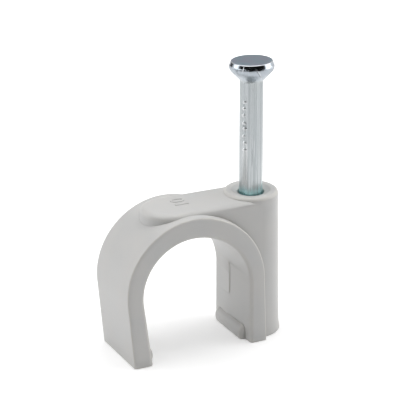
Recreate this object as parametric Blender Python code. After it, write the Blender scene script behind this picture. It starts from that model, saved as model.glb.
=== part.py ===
"""Nail-in cable clip: a moulded arch with a nail column, and the headed steel nail standing in it.

The clip stands on the wall face, z = 0. X runs from the free leg to the nail, Y along the cable,
and the nail points down -Z. The middle of the part's footprint is the origin.
"""
from math import asin, atan2, cos, pi, radians, sin, tan

import bmesh
import bpy
from mathutils import Vector

MM = 0.001

# The opening that the cable lies in
OPENING_HEIGHT = 10.86 * MM
OPENING_FREE_RADIUS = 4.63 * MM
OPENING_NAIL_RADIUS = 5.47 * MM
CLIP_DEPTH = 6.42 * MM

# The arch's walls
CROWN_WALL = 1.82 * MM
FREE_LEG_WALL = 1.56 * MM
NAIL_LEG_WALL = 1.38 * MM
FREE_LEG_LEAN_INSIDE = radians(7.5)
FREE_LEG_LEAN_OUTSIDE = radians(5.2)
NAIL_LEG_DRAFT = radians(2.2)
INNER_EDGE_ROUND = 0.45 * MM
OUTER_EDGE_ROUND = 0.30 * MM
BACK_EDGE_ROUND = 0.15 * MM

# The opening is cored from the front and from the back, and the cores meet with a small step
PARTING_Y = 0.50 * MM
PARTING_STEP = 0.062 * MM
PARTING_WIDTH = 0.12 * MM
CORE_DRAFT = radians(1.0)

# The grip beads inside both feet
BEAD_PROUD = 0.55 * MM
BEAD_CREST_HEIGHT = 0.45 * MM
BEAD_TOP_HEIGHT = 1.30 * MM
BEAD_FROM_FRONT = 1.00 * MM
BEAD_FROM_BACK = 0.50 * MM
BEAD_END_ROUND = 0.40 * MM

# The nail column
COLUMN_TOP_RADIUS = 2.37 * MM
COLUMN_ABOVE_CROWN = 0.37 * MM
COLUMN_DRAFT = radians(0.75)
COLUMN_RIM_ROUND = 0.30 * MM
FOOT_FLARE = 0.10 * MM
FOOT_FLARE_HEIGHT = 0.80 * MM
BORE_WALL = 0.53 * MM

# The funnel that the nail's head is driven into
SEAT_RADIUS = 1.55 * MM
SEAT_DEPTH = 0.75 * MM

# The bridge over the arch
BRIDGE_REACH = 10.33 * MM
BRIDGE_END_RADIUS = 2.40 * MM
BRIDGE_BELOW_RIM = 0.28 * MM
BRIDGE_TILT = radians(1.2)
BRIDGE_TOP_ROUND = 0.55 * MM

# The nail
SHANK_RADIUS = 1.00 * MM
SHANK_CLEARANCE = 0.08 * MM
NAIL_LENGTH = 24.57 * MM
NAIL_TIP_ABOVE_WALL = 0.19 * MM
HEAD_RADIUS = 1.95 * MM
HEAD_FLAT_RADIUS = 1.67 * MM
HEAD_HEIGHT = 1.89 * MM
HEAD_SIDE = 0.75 * MM
HEAD_ROUND = 0.28 * MM
HEAD_UNDER_ROUND = 0.12 * MM
POINT_LENGTH = 2.60 * MM

# How finely round shapes are divided
ARC_STEPS = 22
CORNER_STEPS = 4
END_STEPS = 10
BEAD_STEPS = 24
TURN_STEPS = 64
BELOW_WALL = 0.60 * MM

# Places that follow from the sizes, measured from the nail's axis
BORE_RADIUS = SHANK_RADIUS + SHANK_CLEARANCE
NAIL_WALL_X = -(BORE_RADIUS + BORE_WALL)
CROWN_X = NAIL_WALL_X - OPENING_NAIL_RADIUS
CROWN_Z = OPENING_HEIGHT + CROWN_WALL
COLUMN_HEIGHT = CROWN_Z + COLUMN_ABOVE_CROWN
FREE_OUTER_RADIUS = OPENING_FREE_RADIUS + FREE_LEG_WALL
NAIL_OUTER_RADIUS = OPENING_NAIL_RADIUS + NAIL_LEG_WALL
COLUMN_FOOT_RADIUS = COLUMN_TOP_RADIUS + COLUMN_HEIGHT * tan(COLUMN_DRAFT) + FOOT_FLARE
NAIL_AXIS_X = (FREE_OUTER_RADIUS - CROWN_X - COLUMN_FOOT_RADIUS) / 2


def new_material(name, colour, roughness, metallic):
    material = bpy.data.materials.new(name)
    material.use_nodes = True
    shader = material.node_tree.nodes["Principled BSDF"]
    shader.inputs["Base Color"].default_value = (*colour, 1.0)
    shader.inputs["Roughness"].default_value = roughness
    shader.inputs["Metallic"].default_value = metallic
    return material


def new_object(name, mesh_builder):
    """One object at the nail's axis from a filled bmesh, with outward faces and smooth shading."""
    bmesh.ops.remove_doubles(mesh_builder, verts=mesh_builder.verts, dist=0.001 * MM)
    bmesh.ops.recalc_face_normals(mesh_builder, faces=mesh_builder.faces)
    mesh = bpy.data.meshes.new(name)
    mesh_builder.to_mesh(mesh)
    mesh_builder.free()
    mesh.shade_smooth()
    mesh.set_sharp_from_angle(angle=radians(30))
    piece = bpy.data.objects.new(name, mesh)
    piece.location.x = NAIL_AXIS_X
    bpy.context.collection.objects.link(piece)
    return piece


def arc(centre, radius, start, end, steps):
    """Points along an arc in a plane, both ends included."""
    points = []
    for step in range(steps + 1):
        angle = start + (end - start) * step / steps
        points.append(Vector((centre[0] + radius * cos(angle), centre[1] + radius * sin(angle))))
    return points


def leg_end(tangent, lean):
    """The end of a leg's side below the wall face, going straight on from the arc's end."""
    drop = tangent.y + BELOW_WALL
    return Vector((tangent.x + drop * tan(lean), -BELOW_WALL))


def arch_side(top, free_radius, nail_radius, free_lean, nail_lean):
    """One side of the arch, from the free foot over the crown to the nail's foot."""
    free_arc = arc((CROWN_X, top - free_radius), free_radius, pi + free_lean, pi / 2, ARC_STEPS)
    nail_arc = arc((CROWN_X, top - nail_radius), nail_radius, pi / 2, -nail_lean, ARC_STEPS)
    return [leg_end(free_arc[0], free_lean), *free_arc, *nail_arc[1:], leg_end(nail_arc[-1], nail_lean)]


def inner_side():
    return arch_side(OPENING_HEIGHT, OPENING_FREE_RADIUS, OPENING_NAIL_RADIUS, FREE_LEG_LEAN_INSIDE, 0.0)


def outer_side():
    return arch_side(CROWN_Z, FREE_OUTER_RADIUS, NAIL_OUTER_RADIUS, FREE_LEG_LEAN_OUTSIDE, NAIL_LEG_DRAFT)


def wall_section(thickness):
    """The wall's cross-section, across the wall and along the cable, with round corners.

    The edge between the front face and the opening has the largest round. The inner side runs out
    from the front to the parting line, steps out a little further, and runs back in again.
    """
    half = CLIP_DEPTH / 2
    inner = min(INNER_EDGE_ROUND, 0.4 * thickness)
    outer = min(OUTER_EDGE_ROUND, 0.4 * thickness)
    rear = min(BACK_EDGE_ROUND, 0.4 * thickness)
    line = (PARTING_Y + half) * tan(CORE_DRAFT)
    back = line + PARTING_STEP - (half - PARTING_Y) * tan(CORE_DRAFT)
    corners = [
        ((inner, inner - half), inner, pi),
        ((thickness - outer, outer - half), outer, 1.5 * pi),
        ((thickness - rear, half - rear), rear, 0.0),
        ((rear - back, half - rear), rear, 0.5 * pi),
    ]
    section = []
    for centre, radius, start in corners:
        section += arc(centre, radius, start, start + pi / 2, CORNER_STEPS)
    section.append(Vector((-line - PARTING_STEP, PARTING_Y + PARTING_WIDTH / 2)))
    section.append(Vector((-line, PARTING_Y - PARTING_WIDTH / 2)))
    return section


def loft(rings):
    """A closed solid through a row of rings that have as many points each."""
    builder = bmesh.new()
    rows = [[builder.verts.new(point) for point in ring] for ring in rings]
    for near, far in zip(rows, rows[1:]):
        for index in range(len(near)):
            following = (index + 1) % len(near)
            builder.faces.new((near[index], near[following], far[following], far[index]))
    builder.faces.new(rows[0])
    builder.faces.new(rows[-1])
    return builder


def prism(outline, half_depth):
    """An outline in x and z, drawn out along the cable on both sides of the middle."""
    rings = []
    for y in (-half_depth, half_depth):
        rings.append([Vector((point.x, y, point.y)) for point in outline])
    return loft(rings)


def turned(profile):
    """A profile of radius and height, turned about the nail's axis; it starts and ends on the axis."""
    builder = bmesh.new()
    points = [builder.verts.new((radius, 0.0, height)) for radius, height in profile]
    edges = [builder.edges.new(pair) for pair in zip(points, points[1:])]
    bmesh.ops.spin(
        builder,
        geom=points + edges,
        axis=(0.0, 0.0, 1.0),
        cent=(0.0, 0.0, 0.0),
        angle=2 * pi,
        steps=TURN_STEPS,
        use_merge=True,
    )
    return builder


def make_arch():
    """The arch, lofted wall section by wall section from foot to foot."""
    rings = []
    for inside, outside in zip(inner_side(), outer_side()):
        across = outside - inside
        thickness = across.length
        across.normalize()
        ring = []
        for point in wall_section(thickness):
            place = inside + across * point.x
            ring.append(Vector((place.x, point.y, place.y)))
        rings.append(ring)
    return new_object("clip_body", loft(rings))


def bridge_outline(below, inset):
    """The bridge from above, some way below its top: a round free end, and sides tangent to the column."""
    spread = below * tan(COLUMN_DRAFT) - inset
    end = BRIDGE_END_RADIUS + spread
    root = (COLUMN_TOP_RADIUS + spread) * cos(pi / TURN_STEPS)
    middle = BRIDGE_END_RADIUS - BRIDGE_REACH
    taper = asin((root - end) / -middle)
    outline = [Vector((-root * sin(taper), root * cos(taper)))]
    outline += arc((middle, 0.0), end, pi / 2 + taper, 1.5 * pi - taper, 2 * END_STEPS)
    outline += [Vector((-root * sin(taper), -root * cos(taper))), Vector((0.0, -root / 2)), Vector((0.0, root / 2))]
    height = COLUMN_HEIGHT - BRIDGE_BELOW_RIM - below
    return [Vector((point.x, point.y, height - point.x * tan(BRIDGE_TILT))) for point in outline]


def make_bridge():
    """The flat tongue over the arch, and the web that carries it down beside the column."""
    rings = [bridge_outline(COLUMN_HEIGHT + BELOW_WALL, 0.0)]
    for step in range(CORNER_STEPS + 1):
        angle = pi / 2 * step / CORNER_STEPS
        rings.append(bridge_outline(BRIDGE_TOP_ROUND * (1 - sin(angle)), BRIDGE_TOP_ROUND * (1 - cos(angle))))
    return new_object("bridge", loft(rings))


def make_inside():
    """What is cut from the bridge and the column: everything inside the middle of the arch's wall."""
    outline = [inside.lerp(outside, 0.5) for inside, outside in zip(inner_side(), outer_side())]
    return new_object("inside", prism(outline, CLIP_DEPTH))


def make_column():
    """The drafted column, with a small flare at its foot and a rounded rim."""
    spread = tan(COLUMN_DRAFT)
    flare_radius = COLUMN_TOP_RADIUS + (COLUMN_HEIGHT - FOOT_FLARE_HEIGHT) * spread
    rim = arc(
        (COLUMN_TOP_RADIUS - COLUMN_RIM_ROUND, COLUMN_HEIGHT - COLUMN_RIM_ROUND),
        COLUMN_RIM_ROUND, 0.0, pi / 2, CORNER_STEPS,
    )
    profile = [
        (0.0, -BELOW_WALL),
        (COLUMN_FOOT_RADIUS, -BELOW_WALL),
        (COLUMN_FOOT_RADIUS, 0.0),
        (flare_radius, FOOT_FLARE_HEIGHT),
        *[(point.x, point.y) for point in rim],
        (0.0, COLUMN_HEIGHT),
    ]
    return new_object("column", turned(profile))


def make_bead(name, foot, facing, lean):
    """A grip bead along a foot's inner side; facing is +1 where the bead looks along +X."""
    front = BEAD_FROM_FRONT - CLIP_DEPTH / 2
    back = CLIP_DEPTH / 2 - BEAD_FROM_BACK
    stations = []
    for step in range(CORNER_STEPS + 1):
        angle = pi / 2 * step / CORNER_STEPS
        stations.append((front + BEAD_END_ROUND * (1 - cos(angle)), sin(angle)))
    for step in range(CORNER_STEPS + 1):
        angle = pi / 2 * step / CORNER_STEPS
        stations.append((back - BEAD_END_ROUND * (1 - sin(angle)), cos(angle)))
    rings = []
    for along, fullness in stations:
        proud = BEAD_END_ROUND * (fullness - 1) + BEAD_PROUD
        tall = BEAD_END_ROUND * (fullness - 1) + BEAD_TOP_HEIGHT - BEAD_CREST_HEIGHT
        ring = []
        for point in arc((0.0, 0.0), 1.0, 0.0, 2 * pi, BEAD_STEPS)[:-1]:
            height = BEAD_CREST_HEIGHT + tall * point.y
            wall = foot - height * tan(lean)
            ring.append(Vector((wall + facing * proud * point.x, along, height)))
        rings.append(ring)
    return new_object(name, loft(rings))


def make_bore():
    """The nail's way through the column: the funnel that its head beds in, and the bore."""
    flare = (SEAT_RADIUS - BORE_RADIUS) / SEAT_DEPTH
    profile = [
        (0.0, -2 * BELOW_WALL),
        (BORE_RADIUS, -2 * BELOW_WALL),
        (BORE_RADIUS, COLUMN_HEIGHT - SEAT_DEPTH),
        (SEAT_RADIUS + flare * BELOW_WALL, COLUMN_HEIGHT + BELOW_WALL),
        (0.0, COLUMN_HEIGHT + BELOW_WALL),
    ]
    return new_object("bore", turned(profile))


def make_wall():
    """The wall: the block below z = 0 that trims both feet flat."""
    builder = bmesh.new()
    bmesh.ops.create_cube(builder, size=1.0)
    span = 4 * (FREE_OUTER_RADIUS + NAIL_OUTER_RADIUS)
    for vert in builder.verts:
        vert.co.x *= span
        vert.co.y *= 2 * CLIP_DEPTH
        vert.co.z = (vert.co.z - 0.5) * 4 * BELOW_WALL
    return new_object("wall", builder)


def combine(target, tool, operation):
    """A Boolean from a hidden tool object, kept as a modifier."""
    tool.hide_render = True
    tool.display_type = "WIRE"
    modifier = target.modifiers.new(f"{operation.lower()} {tool.name}", "BOOLEAN")
    modifier.operation = operation
    modifier.solver = "EXACT"
    modifier.object = tool


def make_clip(material):
    """The moulded clip: arch, bridge, column and beads in one piece, trimmed and bored."""
    clip = make_arch()
    bridge = make_bridge()
    column = make_column()
    inside = make_inside()
    combine(bridge, inside, "DIFFERENCE")
    combine(column, inside, "DIFFERENCE")
    free_foot = inner_side()[1].x + inner_side()[1].y * tan(FREE_LEG_LEAN_INSIDE)
    combine(clip, bridge, "UNION")
    combine(clip, column, "UNION")
    combine(clip, make_bead("free_bead", free_foot, 1, FREE_LEG_LEAN_INSIDE), "UNION")
    combine(clip, make_bead("nail_bead", NAIL_WALL_X, -1, 0.0), "UNION")
    combine(clip, make_wall(), "DIFFERENCE")
    combine(clip, make_bore(), "DIFFERENCE")
    clip.data.materials.append(material)
    return clip


def make_nail(material):
    """The nail: flat head with a rounded shoulder, cone under it, shank and four-sided point."""
    top = NAIL_TIP_ABOVE_WALL + NAIL_LENGTH
    side_foot = top - HEAD_SIDE - HEAD_UNDER_ROUND
    cone_foot = top - HEAD_HEIGHT
    shoulder = []
    for step in range(CORNER_STEPS + 1):
        angle = pi / 2 * step / CORNER_STEPS
        shoulder.append((
            HEAD_FLAT_RADIUS + (HEAD_RADIUS - HEAD_FLAT_RADIUS) * cos(angle),
            top - HEAD_ROUND + HEAD_ROUND * sin(angle),
        ))
    slope = atan2(HEAD_RADIUS - SHANK_RADIUS, side_foot - cone_foot)
    under = HEAD_RADIUS - HEAD_UNDER_ROUND * sin(slope) / 2
    profile = [
        (0.0, NAIL_TIP_ABOVE_WALL),
        (SHANK_RADIUS, NAIL_TIP_ABOVE_WALL),
        (SHANK_RADIUS, cone_foot),
        (under, side_foot + HEAD_UNDER_ROUND / 4),
        (HEAD_RADIUS, side_foot + HEAD_UNDER_ROUND),
        *shoulder,
        (0.0, top),
    ]
    builder = turned(profile)
    bmesh.ops.remove_doubles(builder, verts=builder.verts, dist=0.001 * MM)
    tip = Vector((0.0, 0.0, NAIL_TIP_ABOVE_WALL))
    for quarter in range(4):
        turn = quarter * pi / 2
        outward = Vector((cos(turn) * POINT_LENGTH, sin(turn) * POINT_LENGTH, -SHANK_RADIUS))
        geometry = builder.verts[:] + builder.edges[:] + builder.faces[:]
        cut = bmesh.ops.bisect_plane(
            builder, geom=geometry, dist=0.0001 * MM, plane_co=tip, plane_no=outward, clear_outer=True
        )
        rim = [part for part in cut["geom_cut"] if isinstance(part, bmesh.types.BMEdge)]
        bmesh.ops.contextual_create(builder, geom=rim)
    nail = new_object("nail", builder)
    nail.data.materials.append(material)
    return nail


def main():
    for old in list(bpy.data.objects):
        bpy.data.objects.remove(old, do_unlink=True)
    plastic = new_material("light grey plastic", (0.62, 0.62, 0.60), 0.45, 0.0)
    steel = new_material("bright zinc steel", (0.62, 0.66, 0.68), 0.28, 1.0)
    make_clip(plastic)
    make_nail(steel)


main()
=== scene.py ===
"""Looks of the nail-in cable clip: a fine mesh for the moulded clip and one for its nail, their
finishes, and a white studio.

Lengths are in metres and in the frame's coordinates: X runs from the free leg to the nail, Y along
the cable and +Z up the nail. Shapes are drawn about the nail's axis and then moved onto it.
"""
from math import asin, cos, pi, radians, sin, tan

import bmesh
import bpy
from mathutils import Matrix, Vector


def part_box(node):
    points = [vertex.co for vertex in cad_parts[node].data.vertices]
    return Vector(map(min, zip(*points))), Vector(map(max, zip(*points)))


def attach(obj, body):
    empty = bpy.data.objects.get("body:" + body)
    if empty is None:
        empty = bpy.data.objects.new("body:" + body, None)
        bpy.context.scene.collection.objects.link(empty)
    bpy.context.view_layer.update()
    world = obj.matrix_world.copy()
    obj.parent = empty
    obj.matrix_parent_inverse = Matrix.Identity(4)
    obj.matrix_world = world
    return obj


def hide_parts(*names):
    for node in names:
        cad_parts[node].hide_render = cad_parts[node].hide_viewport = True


MM = 0.001
FLOAT = "NodeSocketFloat"
VECTOR = "NodeSocketVector"

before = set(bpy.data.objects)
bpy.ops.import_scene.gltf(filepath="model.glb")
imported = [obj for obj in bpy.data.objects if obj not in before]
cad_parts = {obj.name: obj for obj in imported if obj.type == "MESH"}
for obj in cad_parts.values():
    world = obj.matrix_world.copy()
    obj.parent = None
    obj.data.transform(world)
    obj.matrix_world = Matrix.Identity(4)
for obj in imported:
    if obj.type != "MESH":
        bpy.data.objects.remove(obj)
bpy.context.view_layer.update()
clip_low, clip_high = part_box("clip_body")
nail_low, nail_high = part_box("nail")

# The frame's own sizes
NAIL_AXIS_X = (nail_low.x + nail_high.x) / 2
CLIP_DEPTH = clip_high.y - clip_low.y
COLUMN_HEIGHT = clip_high.z
NAIL_TIP = nail_low.z
NAIL_TOP = nail_high.z

# The opening and the arch's walls
OPENING_HEIGHT = 10.86 * MM
OPENING_FREE_RADIUS = 4.63 * MM
OPENING_NAIL_RADIUS = 5.47 * MM
CROWN_WALL = 1.82 * MM
FREE_LEG_WALL = 1.56 * MM
NAIL_LEG_WALL = 1.38 * MM
FREE_LEG_LEAN_INSIDE = radians(7.5)
FREE_LEG_LEAN_OUTSIDE = radians(5.2)
NAIL_LEG_DRAFT = radians(2.2)
INNER_EDGE_ROUND = 0.34 * MM
OUTER_EDGE_ROUND = 0.14 * MM
FREE_SIDE_EDGE_REACH = 0.50 * MM
BACK_EDGE_ROUND = 0.15 * MM

# The opening was cored from the front and from the back: each half is drafted, and where they met
# the back half stands proud by a small step, which spreads out towards the feet and the crown
PARTING_Y = 0.50 * MM
CORE_DRAFT = radians(1.5)
PARTING_STEP = 0.09 * MM
PARTING_WIDTH = 0.06 * MM
PARTING_SPREAD = 0.70 * MM
PARTING_BOTTOM = 2.6 * MM
PARTING_TOP = 7.2 * MM
PARTING_FADE = 1.0 * MM

# The grip beads
BEAD_PROUD = 0.56 * MM
BEAD_CREST_HEIGHT = 0.48 * MM
BEAD_TOP_HEIGHT = 1.28 * MM
BEAD_FROM_FRONT = 1.00 * MM
BEAD_FROM_BACK = 0.50 * MM
BEAD_END_ROUND = 0.40 * MM

# The nail column, its bore and its seat
COLUMN_TOP_RADIUS = 2.37 * MM
COLUMN_DRAFT = radians(0.75)
COLUMN_RIM_ROUND = 0.30 * MM
FOOT_FLARE = 0.10 * MM
FOOT_FLARE_HEIGHT = 0.80 * MM
BORE_RADIUS = 1.08 * MM
BORE_WALL = 0.53 * MM
SEAT_RADIUS = 1.17 * MM
SEAT_DEPTH = 0.75 * MM
SEAT_BED_RADIUS = 1.48 * MM
SEAT_BED_DEPTH = 0.16 * MM
SEAT_LIP_RADIUS = 1.72 * MM
SEAT_LIP_DEPTH = 0.18 * MM

# The bridge over the arch
BRIDGE_REACH = 10.33 * MM
BRIDGE_END_RADIUS = 2.40 * MM
BRIDGE_BELOW_RIM = 0.28 * MM
BRIDGE_TILT = radians(1.2)
BRIDGE_TOP_ROUND = 0.55 * MM

# The size figure that stands up from the bridge; a figure is as high as the given share of its font's size
FIGURE = "10"
FIGURE_HEIGHT = 1.35 * MM
FIGURE_FONT_SHARE = 0.73
FIGURE_THINNED = 0.02 * MM
FIGURE_EDGE_ROUND = 0.03 * MM
FIGURE_PROUD = 0.03 * MM
FIGURE_SUNK = 0.20 * MM
FIGURE_FROM_NAIL = 6.60 * MM
FIGURE_OFF_MIDDLE = 0.35 * MM

# Fillets and broken edges of the moulding
CREASE_ROUND = 0.05 * MM
CREASE_ANGLE = radians(32)
CREASE_STEPS = 2
CLIP_SHARP_ANGLE = radians(40)
NAIL_SHARP_ANGLE = radians(30)

# The nail
SHANK_RADIUS = 1.015 * MM
HEAD_HEIGHT = 1.815 * MM
HEAD_FACE_RADIUS = 1.77 * MM
HEAD_SHOULDER_LEAN = radians(21.8)
HEAD_CONE_LEAN = radians(42.5)
HEAD_EDGE_ROUND = 0.10 * MM
HEAD_SIDE_ROUND = 0.65 * MM
HEAD_NECK_ROUND = 0.30 * MM
HEAD_TILT = radians(2.6)
HEAD_TILT_FROM = 0.95 * MM
HEAD_TILT_FULL = 0.35 * MM
POINT_LENGTH = 2.60 * MM

# The teeth that the grip dies raised on two sides of the wire; each is a flattened ball of its own size
GRIP_TEETH = 8
GRIP_FIRST_HEIGHT = 21.16 * MM
GRIP_PITCH = 0.60 * MM
GRIP_SCATTER = 0.08 * MM
GRIP_TURN_SCATTER = radians(5)
GRIP_TURN = radians(-156)
GRIP_WIDTH = 0.60 * MM
GRIP_TALL = 0.50 * MM
GRIP_THICK = 0.30 * MM
GRIP_PROUD = 0.050 * MM
GRIP_SMALLEST = 0.60
GRIP_LARGEST = 1.05
GRIP_SEGMENTS = 20
GRIP_RINGS = 12
GRIP_SEED = 4

# Scratches on the nail, cut into its relief, in degrees and millimetres: turn about the axis, height,
# radius there, slant, length and width, and how much painted glint or, below 0, painted shade the scratch's
# colour has
NAIL_SCRATCHES = [
    (-97.0, 24.00, 1.50, 30.0, 1.90, 0.09, 0.80),
    (-100.5, 24.05, 1.55, 30.0, 1.20, 0.07, -0.75),
    (-141.0, 24.42, 1.85, -6.0, 0.60, 0.10, 0.80),
    (-156.0, 23.98, 1.75, 24.0, 0.80, 0.10, -0.75),
    (-113.0, 16.30, 1.00, 0.0, 2.10, 0.06, -0.80),
    (-102.5, 17.10, 1.00, 0.0, 1.80, 0.06, 0.70),
]

# A painted highlight: a pale band down the shank, in the same order and without its slant
NAIL_PAINTED_HIGHLIGHT = (-147.0, 15.40, 1.00, 5.40, 1.10, 0.65)

# How finely round shapes are divided
ARC_STEPS = 64
LEG_STEPS = 24
CORNER_STEPS = 6
END_STEPS = 36
BEAD_STEPS = 48
SIDE_STEPS = 20
TURN_STEPS = 144
FACE_RINGS = (0.1, 0.25, 0.5, 0.75, 1.0)
BELOW_FLOOR = 0.60 * MM
SAME_POINT = 0.0005 * MM
SLIVER = 0.002 * MM
ON_PLANE = 0.0001 * MM

# Places that follow from the sizes, measured from the nail's axis
NAIL_WALL_X = -(BORE_RADIUS + BORE_WALL)
CROWN_X = NAIL_WALL_X - OPENING_NAIL_RADIUS
CROWN_Z = OPENING_HEIGHT + CROWN_WALL
FREE_OUTER_RADIUS = OPENING_FREE_RADIUS + FREE_LEG_WALL
NAIL_OUTER_RADIUS = OPENING_NAIL_RADIUS + NAIL_LEG_WALL
COLUMN_FOOT_RADIUS = COLUMN_TOP_RADIUS + COLUMN_HEIGHT * tan(COLUMN_DRAFT) + FOOT_FLARE

# How many patches and grains the finishes have in a millimetre, and how finely edges and scratches waver
PLASTIC_PATCHES = 0.35
PLASTIC_GRAINS = 7.0
ZINC_PATCHES = 0.9
EDGE_PATCHES = 1.6
SCRATCH_WAVES = 4.0
SCRATCH_WANDER = 0.06

# How tightly a surface bends, per millimetre, where its edge or its crease starts to show and shows fully
PLASTIC_EDGE_BENDS = (0.5, 2.2)
ZINC_EDGE_BENDS = (1.0, 3.0)
ZINC_CREASE_BENDS = (-1.5, -4.0)
PLASTIC_EDGE_UNEVENNESS = 0.35
ZINC_EDGE_UNEVENNESS = 0.5
ZINC_CREASE_UNEVENNESS = 0.2

# The plastic's skin in two shades, its paler edges, which are a painted highlight, and the painted shade in
# its crevices, as display colours
PLASTIC_SKIN = ((203, 203, 202), (206, 205, 203))
PLASTIC_EDGE = (220, 217, 210)
PLASTIC_EDGE_SHARE = 0.6
PAINTED_CREVICE_SHADE = (128, 126, 116)
PAINTED_CREVICE_SHADE_SHARE = 0.46
CREVICE_REACH = 1.3 * MM
CREVICE_CLOSED = 0.35
CREVICE_OPEN = 0.78
CREVICE_SAMPLES = 8
PLASTIC_ROUGHNESS = (0.30, 0.38)
PLASTIC_GRAIN = 0.30
PLASTIC_GRAIN_DEPTH = 0.008 * MM

# Where a noise about 0.5 starts and stops to count
NOISE_LOW = 0.3
NOISE_HIGH = 0.7

# The zinc, as display colours: the wire, the head's side and its struck face in two shades each
WIRE_ZINC = ((180, 187, 190), (193, 196, 198))
HEAD_ZINC = ((170, 180, 187), (182, 187, 195))
FACE_ZINC = ((150, 168, 181), (157, 163, 178))
# Painted reflection, brightening the wire's low end near the column
PAINTED_REFLECTION_ZINC = (216, 220, 222)
# Painted highlight, a pale band down the shank
PAINTED_HIGHLIGHT_ZINC = (240, 242, 243)
STREAK_ZINC = (170, 176, 178)
FLECK_ZINC = (128, 134, 138)
CAST_ZINC = (174, 222, 226)
# Paler edges: wear, and a painted highlight on the rounded edges
EDGE_ZINC = (222, 224, 226)
# Painted shade in the creases
PAINTED_CREASE_SHADE_ZINC = (104, 110, 114)
# Painted shade and painted glint along the scratches
SCORE_PAINTED_SHADE_ZINC = (92, 98, 102)
SCORE_PAINTED_GLINT_ZINC = (232, 234, 236)

# How strongly each of them shows
PAINTED_REFLECTION_SHARE = 0.45
FLECK_SHARE = 0.6
CAST_SHARE = 0.85
EDGE_SHARE = 0.8
PAINTED_CREASE_SHADE_SHARE = 0.7

# Where the wire goes over into the head, in millimetres above the neck, and where the head's side and
# its struck face start and stop, in millimetres above the head's top
WIRE_STOPS = (-0.1, 0.3)
HEAD_STARTS = (0.0, 0.5)
SIDE_STARTS = (-1.6, -0.9)
SIDE_STOPS = (-0.45, -0.30)
FACE_STARTS = (-0.07, -0.03)

# Between which values of their noises the streaks, the flecks and the face's two shades come up
STREAK_BAND = (0.40, 0.60)
FLECK_BAND = (0.67, 0.74)
FACE_BAND = (0.4, 0.6)

# Where the zinc changes, in millimetres above the column's rim, and how far its noises are stretched
PAINTED_REFLECTION_FULL = 1.5
PAINTED_REFLECTION_GONE = 5.0
CAST_HEIGHT = 0.25
CAST_WAVE = 2.0
CAST_FADE = 0.5
DRAWN_STRETCH = (7.0, 7.0, 0.05)
FLECK_STRETCH = (9.0, 9.0, 0.55)
STRUCK_STRETCH = (9.0, 9.0, 4.0)

# The zinc's gloss, and the relief of its streaks, its struck side and its scores
WIRE_ROUGHNESS = (0.24, 0.32)
SIDE_ROUGHNESS = 0.16
FACE_ROUGHNESS = 0.36
CHATTER = 1.7
RELIEF = 1.6
ZINC_BUMP = 0.8
ZINC_BUMP_DEPTH = 0.025 * MM

# The camera: where it looks, from which side, and how far off
CAMERA_TARGET = Vector((1.3735, 0.0, 11.817)) * MM
CAMERA_YAW = radians(27.257)
CAMERA_PITCH = radians(22.424)
CAMERA_DISTANCE = 172.853 * MM
CAMERA_LENS = 173.3
CAMERA_SENSOR = 36.0

# The studio: levels are radiances, so that 1 is white; lengths are in metres
WORLD_LEVEL = 0.83
FLOOR_RADIUS = 1.5
FLOOR_SIDES = 96
FLOOR_GAP = 0.01 * MM
FLOOR_WHITE = 0.85
FLOOR_LIFT = 0.25
FLOOR_NEAR_WHITENING = 0.06
FLOOR_FAR_WHITENING = 0.70
FLOOR_WHITE_FROM = 0.12
STUDIO_DISTANCE = 0.30
CARD_STEP = radians(6)
CARD_FADE = radians(8)

# Each card's azimuth, spread, lowest and highest elevation in degrees, its distance and its grey
STUDIO_CARDS = [
    ("dark_front_card", -30, 166, 2, 58, 0.32, 0.01),
    ("grey_back_card", 150, 76, 2, 50, 0.32, 0.62),
    ("dark_back_card", 200, 38, 2, 50, 0.33, 0.14),
]

# Each lamp's azimuth, elevation and spread in degrees, and its level
STUDIO_LAMPS = [
    ("top_softbox", 0, 90, 70, 1.00),
    ("left_softbox", -120, 25, 36, 1.55),
    ("upper_left_softbox", -84, 54, 34, 1.8),
    ("right_softbox", 70, 22, 46, 1.5),
]


def smoothstep(low, high, value):
    """0 below low, 1 above high, and an even rise between them."""
    share = min(1.0, max(0.0, (value - low) / (high - low)))
    return share * share * (3.0 - 2.0 * share)


def linear(red, green, blue):
    """A colour from its eight-bit display values."""
    def channel(value):
        share = value / 255
        return share / 12.92 if share <= 0.04045 else ((share + 0.055) / 1.055) ** 2.4
    return (channel(red), channel(green), channel(blue), 1.0)


# Mesh tools

def new_object(name, data):
    """An object in the scene."""
    made = bpy.data.objects.new(name, data)
    bpy.context.collection.objects.link(made)
    return made


def evaluated_mesh(source):
    """The mesh that an object has once its modifiers, or its font, have done their work."""
    bpy.context.view_layer.update()
    return bpy.data.meshes.new_from_object(source.evaluated_get(bpy.context.evaluated_depsgraph_get()))


def new_piece(name, builder):
    """An object from a bmesh, with merged points and outward faces, drawn about the nail's axis."""
    bmesh.ops.remove_doubles(builder, verts=builder.verts, dist=SAME_POINT)
    bmesh.ops.recalc_face_normals(builder, faces=builder.faces)
    mesh = bpy.data.meshes.new(name)
    builder.to_mesh(mesh)
    builder.free()
    return new_object(name, mesh)


def settle(piece):
    """Makes a piece's modifiers part of its mesh, and removes the tools that they used."""
    tools = {modifier.object for modifier in piece.modifiers if modifier.type == "BOOLEAN"}
    mesh = evaluated_mesh(piece)
    piece.modifiers.clear()
    rough = piece.data
    piece.data = mesh
    mesh.name = piece.name
    bpy.data.meshes.remove(rough)
    for tool in tools:
        bpy.data.objects.remove(tool)


def combine(target, tool, operation):
    modifier = target.modifiers.new(f"{operation.lower()} {tool.name}", "BOOLEAN")
    modifier.operation = operation
    modifier.solver = "EXACT"
    modifier.object = tool


def place_on_axis(piece):
    """Moves a finished mesh from the origin onto the nail's axis."""
    for vert in piece.data.vertices:
        vert.co.x += NAIL_AXIS_X


def arc(centre, radius, start, end, steps):
    """Points along an arc in a plane, both ends included."""
    points = []
    for step in range(steps + 1):
        angle = start + (end - start) * step / steps
        points.append(Vector((centre[0] + radius * cos(angle), centre[1] + radius * sin(angle))))
    return points


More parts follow.
